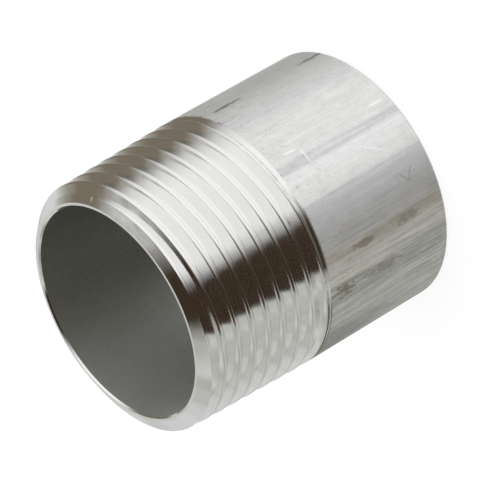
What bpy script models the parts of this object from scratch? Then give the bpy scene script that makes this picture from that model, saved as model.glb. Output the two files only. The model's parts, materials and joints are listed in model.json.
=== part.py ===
"""A male weld nipple: a short steel tube with a taper pipe thread on one end and a plain end to weld.

Lengths are in metres. The nipple stands on its plain end, with +Z along its axis and the thread on top.
The origin is the centre of the plain end. A depth is measured from the threaded face down the axis.
"""
import math

import bmesh
import bpy

# The tube: one inch nominal size
LENGTH = 0.0391
TUBE_DIAMETER = 0.0337
WALL = 0.0029

# The taper thread: eleven threads to the inch, 55 degree form, right-handed
THREAD_PITCH = 0.002309
THREAD_DEPTH = 0.001479
FORM_RADIUS = 0.000317          # rounding of the crests and of the roots
FLANK_ANGLE = 27.5              # degrees between a flank and the plane across the axis
TAPER = 1.0 / 32.0              # growth of the radius along the axis
TAPER_LENGTH = 0.0176           # depth where the turned taper reaches the tube's own surface
THREAD_LENGTH = 0.01945         # depth of the circle where the cutting stopped
THREAD_START = 133.0            # degrees around the axis where the first root crosses the face

# The ends
FACE_LAND = 0.00034             # width of the flat ring left on the threaded face
CHAMFER_ANGLE = 60.0            # degrees between the lead-in chamfer and the axis
RUN_OUT_ANGLE = 40.0            # degrees between the end of the thread and the axis
BORE_BREAK = 0.0002             # width of the broken edge at both mouths of the bore
WELD_END_BREAK = 0.00025        # width of the broken outer edge of the plain end

# How finely round shapes are cut into flats
SEGMENTS = 64
CREST_LAND = 0.00016            # part of each crest that keeps the turned surface
CUT_CLEARANCE = 0.0006          # how far the cutting shapes stand clear of the metal
SHARP_EDGE = 25.0               # degrees past which two faces meet in a crisp edge


def clear_scene():
    """Removes whatever the scene holds."""
    for thing in list(bpy.data.objects):
        bpy.data.objects.remove(thing, do_unlink=True)


def make_steel(name, colour, roughness):
    """Returns a bare stainless steel with the given colour and roughness."""
    steel = bpy.data.materials.new(name)
    steel.use_nodes = True
    shader = steel.node_tree.nodes["Principled BSDF"]
    shader.inputs["Base Color"].default_value = (*colour, 1.0)
    shader.inputs["Metallic"].default_value = 1.0
    shader.inputs["Roughness"].default_value = roughness
    return steel


def add_object(name, mesh_data, material):
    """Turns a bmesh into an object of the scene."""
    bmesh.ops.recalc_face_normals(mesh_data, faces=mesh_data.faces)
    mesh = bpy.data.meshes.new(name)
    mesh_data.to_mesh(mesh)
    mesh_data.free()
    mesh.materials.append(material)
    thing = bpy.data.objects.new(name, mesh)
    bpy.context.scene.collection.objects.link(thing)
    return thing


def at(radius, depth, angle):
    """Returns the point at a radius, a depth below the threaded face and an angle in degrees."""
    turn = math.radians(angle)
    return (radius * math.cos(turn), radius * math.sin(turn), LENGTH - depth)


def revolve(name, profile, material):
    """Turns a closed outline of (radius, depth) points around the axis."""
    shape = bmesh.new()
    rings = []
    for step in range(SEGMENTS):
        angle = 360.0 * step / SEGMENTS
        rings.append([shape.verts.new(at(radius, depth, angle)) for radius, depth in profile])
    for step, ring in enumerate(rings):
        following = rings[(step + 1) % SEGMENTS]
        for index in range(len(profile)):
            after = (index + 1) % len(profile)
            shape.faces.new((ring[index], ring[after], following[after], following[index]))
    return add_object(name, shape, material)


def crest_radius(depth):
    """Returns the radius of the turned taper, which the crests keep."""
    return TUBE_DIAMETER / 2.0 + (depth - TAPER_LENGTH) * TAPER


def blank_profile():
    """Returns the outline of the turned tube before it is threaded."""
    outer = TUBE_DIAMETER / 2.0
    bore = outer - WALL
    land_edge = bore + BORE_BREAK + FACE_LAND
    chamfer_slope = math.tan(math.radians(CHAMFER_ANGLE))
    chamfer_depth = (crest_radius(0.0) - land_edge) / (chamfer_slope - TAPER)
    return [
        (bore, BORE_BREAK),
        (bore + BORE_BREAK, 0.0),
        (land_edge, 0.0),
        (crest_radius(chamfer_depth), chamfer_depth),
        (outer, TAPER_LENGTH),
        (outer, LENGTH - WELD_END_BREAK),
        (outer - WELD_END_BREAK, LENGTH),
        (bore + BORE_BREAK, LENGTH),
        (bore, LENGTH - BORE_BREAK),
    ]


def uncut_profile():
    """Returns the outline of the space behind the thread, which the cutting tool never reaches."""
    stop_radius = TUBE_DIAMETER / 2.0
    slope = math.tan(math.radians(RUN_OUT_ANGLE))
    reach = THREAD_PITCH
    inner = stop_radius - THREAD_DEPTH - CUT_CLEARANCE
    outer = stop_radius + CUT_CLEARANCE * 2.0
    return [
        (inner, THREAD_LENGTH - (stop_radius - inner) / slope),
        (outer, THREAD_LENGTH + (outer - stop_radius) / slope),
        (outer, THREAD_LENGTH + (outer - stop_radius) / slope + reach),
        (inner, THREAD_LENGTH + (outer - stop_radius) / slope + reach),
    ]


def groove_form():
    """Returns half of the groove's section as (distance along the axis, height above the root)."""
    flank = math.radians(FLANK_ANGLE)
    arc_width = FORM_RADIUS * math.cos(flank)
    arc_height = FORM_RADIUS * (1.0 - math.sin(flank))
    half_pitch = THREAD_PITCH / 2.0
    shoulder = half_pitch - arc_width
    over = CREST_LAND / 8.0
    edge = shoulder + (arc_width - CREST_LAND / 2.0) * (arc_height + over) / arc_height
    return [
        (0.0, 0.0),
        (arc_width, arc_height),
        (shoulder, THREAD_DEPTH - arc_height),
        (edge, THREAD_DEPTH + over),
        (edge, THREAD_DEPTH + CUT_CLEARANCE),
    ]


def groove_section(turns):
    """Returns the groove's closed section after some turns of the helix."""
    centre = turns * THREAD_PITCH
    half = groove_form()
    outline = [(-across, height) for across, height in reversed(half[1:])] + half
    angle = THREAD_START + (0.5 / SEGMENTS - turns) * 360.0
    points = []
    for across, height in outline:
        depth = centre + across
        points.append(at(crest_radius(depth) - THREAD_DEPTH + height, depth, angle))
    return points


def make_groove(name, material):
    """Sweeps the groove's section along the helix, from in front of the face to past the thread."""
    first = -SEGMENTS
    last = math.ceil((THREAD_LENGTH / THREAD_PITCH + 1.0) * SEGMENTS)
    shape = bmesh.new()
    rings = []
    for step in range(first, last + 1):
        rings.append([shape.verts.new(point) for point in groove_section(step / SEGMENTS)])
    for ring, following in zip(rings, rings[1:]):
        for index in range(len(ring)):
            after = (index + 1) % len(ring)
            shape.faces.new((ring[index], ring[after], following[after], following[index]))
    shape.faces.new(rings[0])
    shape.faces.new(rings[-1])
    return add_object(name, shape, material)


def cut_away(target, cutter):
    """Cuts one shape out of another, keeps the result and removes the cutter."""
    cut = target.modifiers.new("cut", "BOOLEAN")
    cut.operation = "DIFFERENCE"
    cut.solver = "EXACT"
    cut.object = cutter
    evaluated = target.evaluated_get(bpy.context.evaluated_depsgraph_get())
    result = bpy.data.meshes.new_from_object(evaluated)
    target.modifiers.clear()
    target.data = result
    bpy.data.objects.remove(cutter, do_unlink=True)


def smooth_rounds(thing):
    """Shades the round surfaces smooth and keeps the edges crisp."""
    thing.data.shade_smooth()
    thing.data.set_sharp_from_angle(angle=math.radians(SHARP_EDGE))


def build():
    """Builds the nipple from its blank and the groove that the thread leaves."""
    clear_scene()
    steel = make_steel("stainless_steel", (0.62, 0.61, 0.59), 0.3)
    nipple = revolve("weld_nipple", blank_profile(), steel)
    groove = make_groove("thread_groove", steel)
    cut_away(groove, revolve("uncut_tube", uncut_profile(), steel))
    cut_away(nipple, groove)
    smooth_rounds(nipple)


build()
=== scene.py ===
"""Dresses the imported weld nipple: its turned thread, its pickled tube, its bore, and the studio around it.

Lengths are in metres in the frame's own axes: the nipple stands on its plain end, +Z up, thread on top.
A depth is measured from the threaded face down the axis. A bearing is an angle around the axis in degrees,
nought on the side that faces the camera, growing towards -X.
"""
from __future__ import annotations

import json
import logging
import math
from dataclasses import dataclass, field
from enum import Enum
from typing import Any, Sequence, Union

import bmesh
import bpy
from mathutils import Matrix, Vector

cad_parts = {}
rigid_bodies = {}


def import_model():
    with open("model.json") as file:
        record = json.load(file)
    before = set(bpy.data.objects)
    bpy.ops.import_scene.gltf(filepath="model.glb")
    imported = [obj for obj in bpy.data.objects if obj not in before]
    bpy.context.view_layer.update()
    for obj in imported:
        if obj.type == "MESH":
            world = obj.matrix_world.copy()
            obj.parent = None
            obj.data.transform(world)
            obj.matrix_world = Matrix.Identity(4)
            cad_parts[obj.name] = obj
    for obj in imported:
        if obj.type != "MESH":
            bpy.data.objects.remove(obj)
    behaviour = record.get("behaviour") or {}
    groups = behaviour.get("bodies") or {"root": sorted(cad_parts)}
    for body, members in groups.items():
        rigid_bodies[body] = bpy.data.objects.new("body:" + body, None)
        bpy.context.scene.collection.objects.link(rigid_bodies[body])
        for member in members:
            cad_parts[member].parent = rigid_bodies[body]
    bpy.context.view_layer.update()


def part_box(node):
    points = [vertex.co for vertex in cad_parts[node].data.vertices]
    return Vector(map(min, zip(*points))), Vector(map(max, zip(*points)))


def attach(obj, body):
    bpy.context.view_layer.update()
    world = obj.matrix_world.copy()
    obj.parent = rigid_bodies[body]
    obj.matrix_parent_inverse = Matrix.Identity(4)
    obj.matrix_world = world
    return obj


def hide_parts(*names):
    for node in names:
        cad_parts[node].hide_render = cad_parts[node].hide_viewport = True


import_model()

LOG = logging.getLogger("weld_nipple")
MM = 0.001

Point = tuple[float, float, float]
Colour = tuple[float, float, float]
Value = Union["Socket", float, int]
Paint = Union["Socket", Colour]
Outline = Sequence[tuple[float, float, "Zone"]]


class Zone(Enum):
    """The finishes of the nipple, in the order of its material slots."""

    TUBE = 0
    BORE = 1
    TURNED = 2
    THREAD = 3


class Blend(Enum):
    """Ways in which one colour is laid over another."""

    MIX = "MIX"
    MULTIPLY = "MULTIPLY"


class Socket:
    """A shader socket that reads as a number or a vector in ordinary Python expressions."""

    def __init__(self, tree: "Tree", link: bpy.types.NodeSocket | None) -> None:
        """Wraps an output socket.

        Args:
            tree: the tree that new nodes go to.
            link: the output socket to read, or None for a node that ends a tree.
        """
        self.tree = tree
        self.link = link

    def _math(self, operation: str, *values: Value) -> "Socket":
        """Adds a Math node.

        Args:
            operation: the node's operation.
            values: its inputs, in order.

        Returns:
            The node's result.
        """
        return self.tree.add("ShaderNodeMath", {"operation": operation}, dict(enumerate(values)))

    def __add__(self, other: Value) -> "Socket":
        """Returns the sum."""
        return self._math("ADD", self, other)

    def __radd__(self, other: Value) -> "Socket":
        """Returns the sum."""
        return self._math("ADD", other, self)

    def __sub__(self, other: Value) -> "Socket":
        """Returns the difference."""
        return self._math("SUBTRACT", self, other)

    def __rsub__(self, other: Value) -> "Socket":
        """Returns the difference, the other way round."""
        return self._math("SUBTRACT", other, self)

    def __mul__(self, other: Value) -> "Socket":
        """Returns the product."""
        return self._math("MULTIPLY", self, other)

    def __rmul__(self, other: Value) -> "Socket":
        """Returns the product."""
        return self._math("MULTIPLY", other, self)

    def __truediv__(self, other: Value) -> "Socket":
        """Returns the quotient."""
        return self._math("DIVIDE", self, other)

    def __pow__(self, other: Value) -> "Socket":
        """Returns the power."""
        return self._math("POWER", self, other)

    def __neg__(self) -> "Socket":
        """Returns the negative."""
        return self._math("MULTIPLY", self, -1.0)

    def __abs__(self) -> "Socket":
        """Returns the absolute value."""
        return self._math("ABSOLUTE", self)

    def most(self, other: Value) -> "Socket":
        """Returns the larger of the two."""
        return self._math("MAXIMUM", self, other)

    def rises(self, start: float, end: float) -> "Socket":
        """Returns a smooth step.

        Args:
            start: where the result is still 0.
            end: where it reaches 1.

        Returns:
            The step's height, from 0 to 1.
        """
        settings = {"interpolation_type": "SMOOTHSTEP", "clamp": True}
        inputs = {"Value": self, "From Min": start, "From Max": end}
        return self.tree.add("ShaderNodeMapRange", settings, inputs)

    def falls(self, start: float, end: float) -> "Socket":
        """Returns a smooth step down from 1 at start to 0 at end."""
        return 1.0 - self.rises(start, end)

    def band(self, low: float, high: float, soft: float) -> "Socket":
        """Returns a soft-edged band.

        Args:
            low: the middle of its first edge.
            high: the middle of its second edge.
            soft: the width of each edge.

        Returns:
            1 inside the band and 0 outside.
        """
        half = soft / 2.0
        return self.rises(low - half, low + half) * self.falls(high - half, high + half)


class Tree:
    """A node tree that every node is added to through one method."""

    def __init__(self, owner: bpy.types.ID) -> None:
        """Empties the owner's node tree.

        Args:
            owner: a material or a world.
        """
        owner.use_nodes = True
        self.nodes = owner.node_tree.nodes
        self.links = owner.node_tree.links
        self.nodes.clear()

    def add(
        self,
        kind: str,
        settings: dict[str, Any] | None = None,
        inputs: dict[Any, Any] | None = None,
        output: Any = 0,
    ) -> Socket:
        """Adds a node.

        Args:
            kind: the node's type.
            settings: its properties, set first.
            inputs: values or sockets by the input's name or number.
            output: the name or number of the output to return.

        Returns:
            The asked output.
        """
        node = self.nodes.new(kind)
        for name, value in (settings or {}).items():
            setattr(node, name, value)
        for name, value in (inputs or {}).items():
            if isinstance(value, Socket):
                self.links.new(value.link, node.inputs[name])
            else:
                node.inputs[name].default_value = value
        return Socket(self, node.outputs[output]) if len(node.outputs) else Socket(self, None)

    def layer(self, mask: Value, under: Paint, over: Paint, blend: Blend = Blend.MIX) -> Socket:
        """Lays one colour over another.

        Args:
            mask: how much of the upper colour shows, from 0 to 1.
            under: the lower colour.
            over: the upper colour.
            blend: the way in which it is laid.

        Returns:
            The blended colour.
        """
        inputs = {0: mask, 6: as_rgba(under), 7: as_rgba(over)}
        return self.add("ShaderNodeMix", {"data_type": "RGBA", "blend_type": blend.value}, inputs, 2)

    def noise(self, vector: Socket, scale: float, detail: float = 2.0, roughness: float = 0.5) -> Socket:
        """Adds a noise texture.

        Args:
            vector: the point to read.
            scale: waves for each unit of the vector.
            detail: octaves.
            roughness: weight of the finer octaves.

        Returns:
            The noise, about 0.5 on average.
        """
        inputs = {"Vector": vector, "Scale": scale, "Detail": detail, "Roughness": roughness}
        return self.add("ShaderNodeTexNoise", {}, inputs, "Fac")

    def point(self, x: Value, y: Value, z: Value) -> Socket:
        """Returns the vector of three numbers."""
        return self.add("ShaderNodeCombineXYZ", {}, {0: x, 1: y, 2: z})

    def degrees(self, sine: Value, cosine: Value) -> Socket:
        """Returns the angle that has a sine and a cosine in these proportions, in degrees."""
        return self.add("ShaderNodeMath", {"operation": "ARCTAN2"}, {0: sine, 1: cosine}) * math.degrees(1.0)

    def metal(self, colour: Paint, metallic: float, roughness: Socket, relief: "Relief") -> None:
        """Ends a material's tree with its bump, its shader and its output.

        Args:
            colour: the metal's colour.
            metallic: how much of it mirrors as bare metal does.
            roughness: how dull it is.
            relief: its fine relief.
        """
        shape = {"Height": relief.height, "Strength": relief.strength, "Distance": relief.distance * MM}
        normal = self.add("ShaderNodeBump", {}, shape)
        inputs = {"Base Color": colour, "Metallic": metallic, "Roughness": roughness, "Normal": normal}
        shader = self.add("ShaderNodeBsdfPrincipled", {}, inputs)
        self.add("ShaderNodeOutputMaterial", {}, {"Surface": shader})


@dataclass(frozen=True)
class Relief:
    """The fine relief of a surface: its height from 0 to 1, its strength and its size in millimetres."""

    height: Socket
    strength: float
    distance: float


def as_rgba(colour: Paint) -> Any:
    """Returns a colour with its alpha, or a socket as it is."""
    return colour if isinstance(colour, Socket) else (*colour, 1.0)


def grey(level: float) -> Colour:
    """Returns a neutral colour."""
    return (level, level, level)


@dataclass(frozen=True)
class ThreadForm:
    """A one inch taper pipe thread as it was cut on the tube, with its angles in degrees."""

    pitch: float = 2.309 * MM
    depth: float = 1.479 * MM
    rounding: float = 0.317 * MM
    flank_angle: float = 27.5
    taper: float = 1.0 / 32.0
    taper_length: float = 17.6 * MM
    length: float = 19.45 * MM
    start_angle: float = 133.0
    run_out_angle: float = 40.0
    crest_land: float = 0.16 * MM

    def half_section(self, clearance: float, arc_steps: int) -> list[tuple[float, float]]:
        """Returns half of the groove's section.

        Args:
            clearance: how far the section reaches above the crests.
            arc_steps: flats in half of the root's rounding and in the crest's.

        Returns:
            Points of (distance along the axis, height above the root).
        """
        flank = math.radians(self.flank_angle)
        sweep = math.pi / 2.0 - flank
        half_pitch = self.pitch / 2.0
        points = []
        for step in range(arc_steps + 1):
            turn = sweep * step / arc_steps
            points.append((self.rounding * math.sin(turn), self.rounding * (1.0 - math.cos(turn))))
        land_turn = math.asin(self.crest_land / 2.0 / self.rounding)
        for step in range(arc_steps + 1):
            turn = sweep + (land_turn - sweep) * step / arc_steps
            across = half_pitch - self.rounding * math.sin(turn)
            height = self.depth - self.rounding * (1.0 - math.cos(turn))
            points.append((across, height))
        across, height = points[-1]
        rise = self.crest_land / 8.0
        points[-1] = (across + rise / math.tan(land_turn), height + rise)
        points.append((points[-1][0], self.depth + clearance))
        return points


@dataclass
class Nipple:
    """The nipple's visible body, one closed mesh finer than the solid that it stands for.

    An edge is crisp past sharp_angle degrees, and already past broad_sharp_angle beside a broad face, which
    smooth shading would make look bent.
    """

    node: str = "weld_nipple"
    slot: str = "stainless_steel"
    wall: float = 2.9 * MM
    face_land: float = 0.34 * MM
    chamfer_angle: float = 60.0
    bore_break: float = 0.2 * MM
    weld_end_break: float = 0.25 * MM
    clearance: float = 0.6 * MM
    segments: int = 288
    arc_steps: int = 5
    sharp_angle: float = 22.0
    broad_sharp_angle: float = 15.0
    broad_area: float = 0.1 * MM * MM
    thread: ThreadForm = field(default_factory=ThreadForm)

    def __post_init__(self) -> None:
        """Reads the overall sizes from the frame."""
        low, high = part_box(self.node)
        self.outer = (high.x - low.x) / 2.0
        self.length = high.z - low.z
        self.top = high.z

    def crest_radius(self, depth: float) -> float:
        """Returns the radius of the crests at a depth."""
        return self.outer + (depth - self.thread.taper_length) * self.thread.taper

    def at(self, radius: float, depth: float, angle: float) -> Point:
        """Returns the point at a radius, a depth and an angle in degrees around the axis."""
        turn = math.radians(angle)
        return (radius * math.cos(turn), radius * math.sin(turn), self.top - depth)

    def blank_outline(self) -> Outline:
        """Works out the outline of the turned tube before it is threaded.

        Returns:
            Points of (radius, depth, finish of the stretch that follows).
        """
        bore = self.outer - self.wall
        land_edge = bore + self.bore_break + self.face_land
        slope = math.tan(math.radians(self.chamfer_angle))
        chamfer_depth = (self.crest_radius(0.0) - land_edge) / (slope - self.thread.taper)
        return [
            (bore, self.bore_break, Zone.TURNED),
            (bore + self.bore_break, 0.0, Zone.TURNED),
            (land_edge, 0.0, Zone.TURNED),
            (self.crest_radius(chamfer_depth), chamfer_depth, Zone.TURNED),
            (self.outer, self.thread.taper_length, Zone.TUBE),
            (self.outer, self.length - self.weld_end_break, Zone.TURNED),
            (self.outer - self.weld_end_break, self.length, Zone.TURNED),
            (bore + self.bore_break, self.length, Zone.TURNED),
            (bore, self.length - self.bore_break, Zone.BORE),
        ]

    def uncut_outline(self) -> Outline:
        """Works out the outline of the space behind the thread that the cutting tool never reaches.

        Returns:
            Points of (radius, depth, finish of the stretch that follows).
        """
        slope = math.tan(math.radians(self.thread.run_out_angle))
        inner = self.outer - self.thread.depth - self.clearance
        outer = self.outer + self.clearance * 2.0
        last = self.thread.length + (outer - self.outer) / slope
        return [
            (inner, self.thread.length - (self.outer - inner) / slope, Zone.THREAD),
            (outer, last, Zone.THREAD),
            (outer, last + self.thread.pitch, Zone.THREAD),
            (inner, last + self.thread.pitch, Zone.THREAD),
        ]

    def revolve(self, name: str, outline: Outline) -> bpy.types.Object:
        """Turns a closed outline around the axis.

        Args:
            name: the new object's name.
            outline: the outline's points and finishes.

        Returns:
            The object.
        """
        shape = bmesh.new()
        rings = []
        for step in range(self.segments):
            angle = 360.0 * step / self.segments
            rings.append([shape.verts.new(self.at(radius, depth, angle)) for radius, depth, _ in outline])
        for step, ring in enumerate(rings):
            following = rings[(step + 1) % self.segments]
            for index, (_, _, zone) in enumerate(outline):
                after = (index + 1) % len(outline)
                face = shape.faces.new((ring[index], ring[after], following[after], following[index]))
                face.material_index = zone.value
        return self.as_object(name, shape)

    def groove(self, name: str) -> bpy.types.Object:
        """Sweeps the groove's section along its helix, from in front of the face to past the thread.

        Args:
            name: the new object's name.

        Returns:
            The object.
        """
        half = self.thread.half_section(self.clearance, self.arc_steps)
        section = [(-across, height) for across, height in reversed(half[1:])] + half
        last = math.ceil((self.thread.length / self.thread.pitch + 1.0) * self.segments)
        shape = bmesh.new()
        rings = []
        for step in range(-self.segments, last + 1):
            turns = step / self.segments
            angle = self.thread.start_angle + (0.5 / self.segments - turns) * 360.0
            ring = []
            for across, height in section:
                depth = turns * self.thread.pitch + across
                radius = self.crest_radius(depth) - self.thread.depth + height
                ring.append(shape.verts.new(self.at(radius, depth, angle)))
            rings.append(ring)
        for ring, following in zip(rings, rings[1:]):
            for index in range(len(ring)):
                after = (index + 1) % len(ring)
                shape.faces.new((ring[index], ring[after], following[after], following[index]))
        shape.faces.new(rings[0])
        shape.faces.new(rings[-1])
        for face in shape.faces:
            face.material_index = Zone.THREAD.value
        return self.as_object(name, shape)

    def as_object(self, name: str, shape: bmesh.types.BMesh) -> bpy.types.Object:
        """Turns a bmesh into an object of the scene.

        Args:
            name: the object's name.
            shape: the bmesh, which is freed.

        Returns:
            The object, with an empty slot for each finish.
        """
        bmesh.ops.recalc_face_normals(shape, faces=shape.faces)
        mesh = bpy.data.meshes.new(name)
        shape.to_mesh(mesh)
        shape.free()
        for _ in Zone:
            mesh.materials.append(None)
        thing = bpy.data.objects.new(name, mesh)
        bpy.context.scene.collection.objects.link(thing)
        return thing

    @staticmethod
    def cut_away(target: bpy.types.Object, cutter: bpy.types.Object) -> None:
        """Cuts one shape out of another and removes the cutter.

        Args:
            target: the shape that stays.
            cutter: the shape to take out of it.
        """
        cut = target.modifiers.new("cut", "BOOLEAN")
        cut.operation = "DIFFERENCE"
        cut.solver = "EXACT"
        cut.object = cutter
        evaluated = target.evaluated_get(bpy.context.evaluated_depsgraph_get())
        result = bpy.data.meshes.new_from_object(evaluated)
        target.modifiers.clear()
        target.data = result
        bpy.data.objects.remove(cutter, do_unlink=True)

    def shade(self, mesh: bpy.types.Mesh) -> None:
        """Shades the round surfaces smooth and keeps the edges crisp, sooner beside a broad face.

        Args:
            mesh: the body's mesh.
        """
        mesh.shade_smooth()
        mesh.set_sharp_from_angle(angle=math.radians(self.sharp_angle))
        shape = bmesh.new()
        shape.from_mesh(mesh)
        for edge in shape.edges:
            broad = any(face.calc_area() > self.broad_area for face in edge.link_faces)
            if broad and edge.calc_face_angle(0.0) > math.radians(self.broad_sharp_angle):
                edge.smooth = False
        shape.to_mesh(mesh)
        shape.free()

    def build(self) -> bpy.types.Object:
        """Builds the body from its blank and the thread's groove, and gives it its place in the frame.

        Returns:
            The body.
        """
        body = self.revolve("nipple_body", self.blank_outline())
        groove = self.groove("thread_groove")
        self.cut_away(groove, self.revolve("uncut_tube", self.uncut_outline()))
        self.cut_away(body, groove)
        self.shade(body.data)
        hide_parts(self.node)
        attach(body, "root")
        LOG.info("body: %d faces", len(body.data.polygons))
        return body


class Spot:
    """Where a shaded point lies on the nipple, in millimetres and degrees."""

    def __init__(self, tree: Tree, top: float) -> None:
        """Reads the point from the body's own coordinates.

        Args:
            tree: the tree that the nodes go to.
            top: height of the threaded face in metres.
        """
        self.tree = tree
        place = tree.add("ShaderNodeTexCoord", {}, {}, "Object")
        self.x, self.y, self.z = (
            tree.add("ShaderNodeSeparateXYZ", {}, {0: place}, axis) * (1.0 / MM) for axis in "XYZ"
        )
        self.depth = top / MM - self.z
        self.radius = (self.x * self.x + self.y * self.y) ** 0.5
        self.bearing = tree.degrees(-self.x, -self.y)

    def grain(self, scale: float, stretch: float = 1.0, detail: float = 2.0) -> Socket:
        """Returns noise that may be drawn out along the axis or around it.

        Args:
            scale: waves to the millimetre across.
            stretch: under 1 it draws the noise out along the axis, over 1 around it.
            detail: octaves.

        Returns:
            The noise, about 0.5 on average.
        """
        return self.tree.noise(self.tree.point(self.x, self.y, self.z * stretch), scale, detail, 0.6)


@dataclass(frozen=True)
class Mark:
    """A patch, a dash or a scratch on the tube, with angles in degrees and lengths in millimetres.

    The slant is how far its bearing leans over half of its length. The more ragged it is, the more the
    noise breaks up its edge.
    """

    bearing: float
    depth: float
    half_width: float
    half_length: float
    colour: Colour
    strength: float = 0.7
    slant: float = 0.0
    ragged: float = 1.5

    def lay(self, spot: Spot, noise: Socket, colour: Paint) -> Socket:
        """Lays the mark over a colour.

        Args:
            spot: the shaded point.
            noise: what frays the mark's edge.
            colour: the colour underneath.

        Returns:
            The marked colour.
        """
        along = (spot.depth - self.depth) * (1.0 / self.half_length)
        across = (spot.bearing - self.bearing - along * self.slant) * (1.0 / self.half_width)
        reach = along * along + across * across + (noise - 0.5) * (self.ragged * 2.0)
        return spot.tree.layer(reach.falls(0.3, 1.1) * self.strength, colour, self.colour)


@dataclass(frozen=True)
class Stripe:
    """A stretch of the tube's girth, in degrees, tinted partly in the tube's own tone and partly with painted
    reflection and shade.
    """

    low: float
    high: float
    soft: float
    tint: Colour

    def lay(self, spot: Spot, sway: Socket, colour: Paint) -> Socket:
        """Tints a colour along the band, with its tone and its painted reflection and shade.

        Args:
            spot: the shaded point.
            sway: how far the band's edges wander, in degrees.
            colour: the colour underneath.

        Returns:
            The tinted colour.
        """
        mask = (spot.bearing + sway).band(self.low, self.high, self.soft)
        return spot.tree.layer(mask, colour, self.tint, Blend.MULTIPLY)


class Finish:
    """A finish of the nipple. Each kind of finish paints a tree of its own."""

    name: str

    def make(self, top: float) -> bpy.types.Material:
        """Makes the material.

        Args:
            top: height of the threaded face in metres.

        Returns:
            The material.
        """
        material = bpy.data.materials.new(self.name)
        tree = Tree(material)
        self.paint(tree, Spot(tree, top))
        return material

    def paint(self, tree: Tree, spot: Spot) -> None:
        """Fills the material's tree, which each kind of finish does in its own way."""
        raise NotImplementedError


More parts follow.
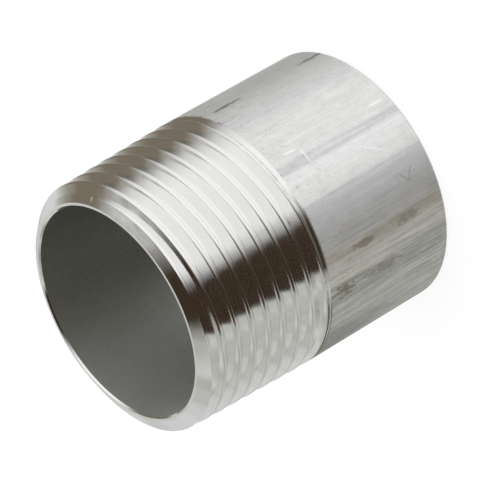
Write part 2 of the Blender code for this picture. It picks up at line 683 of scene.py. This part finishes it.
@dataclass(frozen=True)
class PickledTube(Finish):
    """The tube's own skin: matt, drawn along the axis, with stains and scratches, and with painted reflection
    and shade in bands around it, on one side and past the thread's end.
    """

    name: str = "pickled_tube"
    base: Colour = (0.9, 0.9, 0.9)
    metallic: float = 0.75
    roughness: float = 0.5
    sway: float = 6.0
    bright: Colour = (1.0, 1.0, 0.985)
    drawn_tint: Colour = (0.55, 0.55, 0.53)
    cloud_tint: Colour = (0.7, 0.7, 0.7)
    speck_tint: Colour = (0.6, 0.59, 0.55)
    grain_tint: Colour = (0.7, 0.7, 0.69)
    rubbed_tint: Colour = (0.55, 0.555, 0.545)
    # Colour of the painted shade past the thread's end.
    grime: Colour = (0.12, 0.11, 0.09)
    burr: Colour = (0.16, 0.12, 0.08)
    # Bands around the girth: partly the tube's own tone, partly painted reflection and shade, darkest from 39
    # to 100 degrees.
    stripes: tuple[Stripe, ...] = (
        Stripe(-100.0, -57.0, 8.0, (0.8, 0.805, 0.81)),
        Stripe(-57.0, -40.0, 6.0, (0.82, 0.82, 0.825)),
        Stripe(-40.0, -18.0, 3.0, (0.9, 0.9, 0.885)),
        Stripe(-17.5, -12.5, 2.5, (0.76, 0.765, 0.77)),
        Stripe(1.4, 14.0, 0.8, (0.82, 0.82, 0.83)),
        Stripe(14.0, 24.0, 3.0, (0.76, 0.76, 0.75)),
        Stripe(24.0, 40.0, 3.0, (0.8, 0.785, 0.73)),
        Stripe(24.5, 28.5, 2.0, (0.85, 0.83, 0.79)),
        Stripe(39.0, 47.0, 3.0, (0.56, 0.56, 0.54)),
        Stripe(46.0, 66.0, 5.0, (0.62, 0.63, 0.605)),
        Stripe(66.0, 100.0, 5.0, (0.6, 0.605, 0.595)),
    )
    marks: tuple[Mark, ...] = (
        Mark(-62.0, 23.2, 1.3, 2.6, (0.2, 0.19, 0.17), 0.75),
        Mark(-62.5, 37.4, 1.3, 2.6, (0.22, 0.21, 0.19), 0.75),
        Mark(-21.5, 22.6, 0.7, 1.4, (1.0, 1.0, 0.99), 0.7, 0.0, 0.8),
        Mark(-21.5, 36.8, 0.7, 1.4, (1.0, 1.0, 0.99), 0.7, 0.0, 0.8),
        Mark(-17.0, 24.1, 5.0, 0.16, (1.0, 1.0, 0.99), 0.7, 0.0, 0.8),
        Mark(-5.0, 32.6, 0.8, 1.9, (1.0, 1.0, 1.0), 0.5, 4.5, 1.0),
        Mark(-3.0, 33.6, 0.6, 1.6, (1.0, 1.0, 1.0), 0.5, 4.0, 1.0),
        Mark(11.5, 34.6, 0.7, 0.9, (0.45, 0.44, 0.4), 0.6, 3.5, 0.8),
        Mark(11.0, 35.4, 0.7, 0.9, (0.45, 0.44, 0.4), 0.6, -3.5, 0.8),
        Mark(27.0, 25.9, 2.0, 1.8, (0.3, 0.26, 0.2), 0.7, 0.0, 2.6),
        Mark(27.0, 33.0, 2.0, 2.2, (0.34, 0.31, 0.26), 0.6, 0.0, 2.6),
        Mark(42.5, 21.5, 3.0, 1.7, (0.22, 0.19, 0.14), 0.75, 0.0, 3.0),
        Mark(42.0, 28.4, 2.2, 3.2, (0.3, 0.28, 0.24), 0.65, 0.0, 2.6),
    )

    def weathered(self, spot: Spot, colour: Paint, drawn: Socket, fine: Socket, fray: Socket) -> Socket:
        """Lays the drawn lines, the clouds, the specks and a painted shade on one side over a colour.

        Args:
            spot: the shaded point.
            colour: the colour underneath.
            drawn: noise drawn out along the axis.
            fine: fine noise.
            fray: noise of the size of the specks.

        Returns:
            The weathered colour, with the painted shade.
        """
        tree = spot.tree
        clouds = spot.grain(0.9, 0.45, 4.0)
        darkness = 0.14 + spot.bearing.band(18.0, 85.0, 16.0) * 0.4
        specks = fray.rises(0.56, 0.7) * spot.depth.falls(22.0, 27.0) * 0.45
        # Painted shade: the side at bearings 62 to 120 is darkened, fading out between depths of 22 and 35
        # mm.
        rubbed = spot.bearing.band(62.0, 120.0, 10.0) * spot.depth.falls(22.0, 35.0) * 0.8
        colour = tree.layer(drawn.rises(0.45, 0.75) * darkness, colour, self.drawn_tint, Blend.MULTIPLY)
        colour = tree.layer(drawn.falls(0.25, 0.5) * 0.3, colour, self.bright)
        colour = tree.layer(clouds.rises(0.5, 0.72) * 0.22, colour, self.cloud_tint, Blend.MULTIPLY)
        colour = tree.layer(clouds.falls(0.3, 0.48) * 0.22, colour, grey(1.0))
        colour = tree.layer(specks, colour, self.speck_tint, Blend.MULTIPLY)
        colour = tree.layer(fine.rises(0.4, 0.75) * 0.25, colour, self.grain_tint, Blend.MULTIPLY)
        # Lays the painted shade of that side.
        return tree.layer(rubbed, colour, self.rubbed_tint, Blend.MULTIPLY)

    def soiled(self, spot: Spot, colour: Paint, fray: Socket) -> Socket:
        """Lays painted shade in the run-out of the last groove, and the burr where the cutting of the thread
        stopped.

        Args:
            spot: the shaded point.
            colour: the colour underneath.
            fray: noise that makes the burr ragged.

        Returns:
            The colour with the painted shade and the burr.
        """
        # Painted shade on the tube just past the thread's end, on bearings 2 to 30 and 45 to 100.
        shelter = spot.bearing.band(2.0, 30.0, 6.0).most(spot.bearing.band(45.0, 100.0, 8.0))
        grime = spot.depth.falls(19.5, 19.75) * shelter * 0.85
        colour = spot.tree.layer(grime, colour, self.grime)
        burr = spot.bearing.band(-80.0, -50.0, 8.0) * (spot.depth + fray * 1.6).falls(20.2, 20.6)
        return spot.tree.layer(burr * 0.7, colour, self.burr)

    def paint(self, tree: Tree, spot: Spot) -> None:
        """Paints the bands of tone and painted reflection, the weathering with a painted shade on one side,
        the marks, and the painted shade and burr past the thread's end.

        Args:
            tree: the material's tree.
            spot: the shaded point.
        """
        fray = spot.grain(2.2, 0.5, 3.0)
        broad = spot.grain(0.5, 0.05)
        drawn = spot.grain(2.6, 0.04, 3.0)
        fine = spot.grain(7.0, 0.25)
        sway = (broad - 0.5) * self.sway
        colour: Paint = self.base
        # Lays the bands of tone and painted reflection and shade.
        for stripe in self.stripes:
            colour = stripe.lay(spot, sway, colour)
        colour = self.weathered(spot, colour, drawn, fine, fray)
        for mark in self.marks:
            colour = mark.lay(spot, fray, colour)
        colour = self.soiled(spot, colour, fray)
        roughness = self.roughness + (fine - 0.5) * 0.25 + (drawn - 0.5) * 0.15
        tree.metal(colour, self.metallic, roughness, Relief(fine * 0.5 + drawn, 0.5, 0.02))


@dataclass(frozen=True)
class TurnedSteel(Finish):
    """Bright metal that came off the tool, with fine lines around the axis and dulled crests.

    The crest radius is in millimetres, at the threaded face, and grows by the taper. The nick is a small
    bright tick on the chamfer.
    """

    name: str
    nick: bool = False
    base: Colour = (0.925, 0.925, 0.92)
    line_colour: Colour = (0.8, 0.79, 0.765)
    grain_colour: Colour = (0.75, 0.74, 0.71)
    nick_colour: Colour = (1.0, 0.97, 0.9)
    roughness: float = 0.08
    lines: float = 9.0
    ripple: float = 0.012
    crest_radius: float = 16.3
    taper: float = 1.0 / 32.0

    def paint(self, tree: Tree, spot: Spot) -> None:
        """Paints the turned lines, the grain, the nick and the dulled crests.

        Args:
            tree: the material's tree.
            spot: the shaded point.
        """
        inward = spot.radius * 2.0 + spot.depth
        lines = tree.noise(tree.point(spot.x * 0.03, spot.y * 0.03, inward), self.lines, 2.0, 0.6)
        waves = tree.noise(tree.point(spot.x, spot.y, spot.z * 0.7), 0.32, 1.0, 0.5)
        fine = spot.grain(9.0)
        grain = fine.rises(0.5, 0.8)
        worn = (spot.radius - spot.depth * self.taper - self.crest_radius).rises(-0.05, -0.01)
        colour = tree.layer(lines.rises(0.5, 0.8) * 0.25, self.base, self.line_colour)
        colour = tree.layer(grain * 0.1, colour, self.grain_colour)
        roughness = self.roughness + lines.rises(0.4, 0.8) * 0.07 + grain * 0.02 + worn * 0.05
        if self.nick:
            tick = spot.bearing.band(-58.9, -58.1, 0.4) * spot.depth.band(0.3, 1.6, 0.3)
            colour = tree.layer(tick, colour, self.nick_colour)
            roughness = roughness + tick * 0.5
        tree.metal(colour, 1.0, roughness, Relief(lines * 0.12 + waves * 3.0, 1.0, self.ripple))


@dataclass(frozen=True)
class DullBore(Finish):
    """The inside of the tube: matt, finely grained, and darkened towards +X by painted shade. Its radius is
    in millimetres.
    """

    name: str = "dull_bore"
    radius: float = 13.95
    base: Colour = (0.84, 0.845, 0.82)
    grain_tint: Colour = (0.8, 0.79, 0.76)
    cloud_tint: Colour = (0.88, 0.87, 0.85)
    dark_tint: Colour = (0.31, 0.305, 0.285)
    metallic: float = 0.86
    roughness: float = 0.48

    def paint(self, tree: Tree, spot: Spot) -> None:
        """Paints the grain, the clouds and the painted shade towards +X.

        Args:
            tree: the material's tree.
            spot: the shaded point.
        """
        grain = spot.grain(5.0, 0.8, 3.0)
        clouds = spot.grain(0.4, 0.5)
        # Painted shade: the bore darkens towards +X.
        dark_side = (spot.x * (1.0 / self.radius)).rises(-1.0, 0.5)
        colour = tree.layer(grain.rises(0.35, 0.7) * 0.5, self.base, self.grain_tint, Blend.MULTIPLY)
        colour = tree.layer(clouds.rises(0.4, 0.7) * 0.3, colour, self.cloud_tint, Blend.MULTIPLY)
        colour = tree.layer(dark_side, colour, self.dark_tint, Blend.MULTIPLY)
        roughness = self.roughness + (grain - 0.5) * 0.3
        tree.metal(colour, self.metallic, roughness, Relief(grain, 0.6, 0.03))


class Heading:
    """A direction in which the metal mirrors the studio, read as a point of a flat disc.

    The disc is the sky seen from above, or the ground from below, so that the edge of a tall panel is a
    straight line across it.
    """

    def __init__(self, tree: Tree) -> None:
        """Reads the ray's direction.

        Args:
            tree: the world's tree.
        """
        self.vector = tree.add("ShaderNodeTexCoord", {}, {}, "Generated")
        x, y, self.height = (
            tree.add("ShaderNodeSeparateXYZ", {}, {0: self.vector}, axis) for axis in "XYZ"
        )
        self.steep = abs(self.height)
        shrink = (self.steep + 1.0) ** -0.5
        self.across, self.along = x * shrink, y * shrink
        self.above = self.height.rises(-0.05, 0.05)
        self.azimuth = tree.degrees(y, x)


@dataclass(frozen=True)
class Surroundings:
    """The panels and walls around the nipple, as its bright metal mirrors them.

    Where each one ends was read from the photograph's thread, chamfer and tube, so the numbers in the
    methods are places on the disc of headings and the softness of the edges there.
    """

    white_sheet: Colour = (0.97, 0.975, 0.965)
    near_boards: Colour = (0.16, 0.145, 0.115)
    far_boards: Colour = (0.185, 0.16, 0.12)
    pale_boards: Colour = (0.33, 0.31, 0.27)
    hood_brown: Colour = (0.14, 0.125, 0.1)
    screen_brown: Colour = (0.04, 0.025, 0.015)
    screen_foot: Colour = (0.06, 0.05, 0.038)
    lower_wall: Colour = (0.51, 0.517, 0.462)
    upper_wall: Colour = (0.437, 0.443, 0.394)
    wall_strip: Colour = (0.6, 0.6, 0.57)
    wall_patch: Colour = (0.6, 0.6, 0.6)
    light_cloud: Colour = (0.74, 0.745, 0.74)
    dark_cloud: Colour = (0.25, 0.25, 0.22)

    def sheet(self, tree: Tree, at: Heading) -> Socket:
        """Paints the white sheet, dimmed towards the ground.

        Args:
            tree: the world's tree.
            at: the direction.

        Returns:
            The sheet's colour in every direction.
        """
        dimmed = at.along.rises(-0.35, 0.2) * at.across.rises(-0.1, 0.4)
        dimmed = dimmed * at.height.rises(-0.75, -0.35) * at.steep.falls(0.5, 0.8)
        dimmed = (dimmed * 0.35).most(at.height.falls(-0.5, -0.2) * 0.06)
        return tree.layer(dimmed, self.white_sheet, grey(0.0))

    def boards(self, tree: Tree, at: Heading, colour: Paint) -> Socket:
        """Paints the brown boards on the far side and the hood above them.

        Args:
            tree: the world's tree.
            at: the direction.
            colour: what was painted before.

        Returns:
            The colour with the boards over it.
        """
        wood = tree.layer(at.azimuth.rises(14.0, 40.0), self.near_boards, self.far_boards)
        wood = tree.layer(at.azimuth.rises(50.0, 82.0), wood, self.pale_boards)
        start = at.steep.rises(0.5, 0.8) * 0.12
        colour = tree.layer((at.along - start).rises(-0.02, 0.34), colour, wood)
        beyond = at.along - 0.45
        hood = (at.across * at.across + beyond * beyond).falls(0.185, 0.225)
        hood = hood * at.across.rises(-0.1, 0.1) * at.above * at.along.falls(0.2, 0.36)
        return tree.layer(hood * 0.88, colour, self.hood_brown)

    def screen(self, tree: Tree, at: Heading, colour: Paint) -> Socket:
        """Paints the dark screen on the near side.

        Args:
            tree: the world's tree.
            at: the direction.
            colour: what was painted before.

        Returns:
            The colour with the screen over it.
        """
        upper_edge = at.along * 0.285 + 0.294 - at.steep * 0.05
        edge = at.across + 0.11 - at.steep * 0.05 - at.above * upper_edge
        soft = 0.22 - at.steep * 0.17 + at.above * (at.steep * 0.06 + 0.06)
        lit = (edge / soft).rises(-1.1, 1.0).most(at.along.rises(0.1, 0.35))
        screen = tree.layer(at.height.falls(-0.75, -0.5), self.screen_brown, self.screen_foot)
        return tree.layer(lit, screen, colour)

    def wall(self, tree: Tree, at: Heading, colour: Paint) -> Socket:
        """Paints the uneven grey wall on the side of -X, whose lower and upper parts end at their own edges.

        Args:
            tree: the world's tree.
            at: the direction.
            colour: what was painted before.

        Returns:
            The colour with the wall over it.
        """
        lower = (at.across + 0.2724 - at.along * 1.036) * 0.694
        upper = (at.across + 0.3162 - at.along * 0.602) * 0.857
        upper = upper - (1.0 - at.above) * 2.0 - at.along.rises(0.14, 0.3) * 2.0
        soft = at.along.rises(0.0, 0.4) * 0.07 + at.steep.rises(0.6, 0.8) * 0.02 + 0.035
        covered = (lower.most(upper) / soft).falls(-1.0, 1.0)
        wall = tree.layer(at.above, self.lower_wall, self.upper_wall)
        wall = tree.layer(at.azimuth.band(58.0, 86.0, 16.0), wall, self.wall_strip)
        patch = at.azimuth.band(104.0, 134.0, 14.0) * at.height.rises(-0.4, 0.0)
        wall = tree.layer(patch, wall, self.wall_patch)
        uneven = tree.noise(at.vector, 3.5, 2.0)
        wall = tree.layer(uneven.rises(0.48, 0.66) * 0.6, wall, self.light_cloud)
        wall = tree.layer(uneven.falls(0.34, 0.48) * 0.6, wall, self.dark_cloud)
        return tree.layer(covered, colour, wall)

    def paint(self, tree: Tree) -> Socket:
        """Paints them all, from the back to the front.

        Args:
            tree: the world's tree.

        Returns:
            The colour seen in each direction.
        """
        at = Heading(tree)
        colour = self.boards(tree, at, self.sheet(tree, at))
        colour = self.screen(tree, at, colour)
        return self.wall(tree, at, colour)


@dataclass
class Studio:
    """The floor, the lamp, the camera and what the metal mirrors. Angles are in degrees."""

    floor_radius: float = 3.0
    floor_gap: float = 0.02 * MM
    floor_paint: float = 0.9
    floor_glow: float = 0.8
    lamp_strength: float = 1.2
    lamp_spread: float = 60.0
    lamp_lean: tuple[float, float] = (12.0, 8.0)
    camera_place: Point = (0.057 * MM, -410.833 * MM, 272.116 * MM)
    camera_tilt: float = 58.353
    camera_roll: float = -120.160
    focal_length: float = 297.19
    nearest: float = 0.01
    surroundings: Surroundings = field(default_factory=Surroundings)

    def world(self) -> None:
        """Paints the studio, which the camera itself and the floor see as plain white."""
        world = bpy.data.worlds.new("studio")
        bpy.context.scene.world = world
        tree = Tree(world)
        mirrored = tree.add("ShaderNodeLightPath", {}, {}, "Is Glossy Ray")
        colour = tree.layer(mirrored, grey(1.0), self.surroundings.paint(tree))
        background = tree.add("ShaderNodeBackground", {}, {"Color": colour, "Strength": 1.0})
        tree.add("ShaderNodeOutputWorld", {}, {"Surface": background})

    def floor(self) -> None:
        """Lays the pale floor that the nipple stands on, a little brighter to the camera than its paint."""
        shape = bmesh.new()
        bmesh.ops.create_circle(shape, cap_ends=True, segments=96, radius=self.floor_radius)
        mesh = bpy.data.meshes.new("floor")
        shape.to_mesh(mesh)
        shape.free()
        material = bpy.data.materials.new("pale_floor")
        tree = Tree(material)
        paint = tree.add("ShaderNodeBsdfDiffuse", {}, {"Color": as_rgba(grey(self.floor_paint))})
        glow = tree.add("ShaderNodeEmission", {}, {"Color": as_rgba(grey(1.0)), "Strength": 1.0})
        camera = tree.add("ShaderNodeLightPath", {}, {}, "Is Camera Ray")
        mixed = tree.add("ShaderNodeMixShader", {}, {0: camera * self.floor_glow, 1: paint, 2: glow})
        tree.add("ShaderNodeOutputMaterial", {}, {"Surface": mixed})
        mesh.materials.append(material)
        floor = bpy.data.objects.new("floor", mesh)
        floor.location.z = -self.floor_gap
        floor.visible_glossy = False
        bpy.context.scene.collection.objects.link(floor)

    def camera(self) -> None:
        """Sets the camera at the photograph's own angle, which looks along +Y and lies nearly on its side."""
        data = bpy.data.cameras.new("camera")
        data.lens = self.focal_length
        data.clip_start = self.nearest
        camera = bpy.data.objects.new("camera", data)
        tilt = Matrix.Rotation(math.radians(self.camera_tilt), 4, "X")
        roll = Matrix.Rotation(math.radians(self.camera_roll), 4, "Z")
        camera.matrix_world = Matrix.Translation(Vector(self.camera_place)) @ tilt @ roll
        bpy.context.scene.collection.objects.link(camera)
        bpy.context.scene.camera = camera

    def lamp(self) -> None:
        """Hangs one large soft lamp, for the floor and the shadow on it."""
        data = bpy.data.lights.new("overhead", "SUN")
        data.energy = self.lamp_strength
        data.angle = math.radians(self.lamp_spread)
        lamp = bpy.data.objects.new("overhead", data)
        lamp.rotation_euler = (*(math.radians(lean) for lean in self.lamp_lean), 0.0)
        lamp.visible_glossy = False
        bpy.context.scene.collection.objects.link(lamp)

    def build(self) -> None:
        """Builds the studio."""
        self.world()
        self.floor()
        self.lamp()
        self.camera()
        bpy.context.scene.view_settings.view_transform = "Standard"
        LOG.info("studio: floor, lamp, camera and surroundings")


def main() -> None:
    """Builds the nipple and its studio, and reports each piece."""
    logging.basicConfig(level=logging.INFO, format="%(name)s: %(message)s")
    nipple = Nipple()
    body = nipple.build()
    finishes = {
        Zone.TUBE: PickledTube(),
        Zone.BORE: DullBore(),
        Zone.TURNED: TurnedSteel("turned_end", nick=True),
        Zone.THREAD: TurnedSteel("turned_thread"),
    }
    for zone, finish in finishes.items():
        body.data.materials[zone.value] = finish.make(nipple.top)
        LOG.info("finish: %s", finish.name)
    Studio().build()


if __name__ == "__main__":
    main()
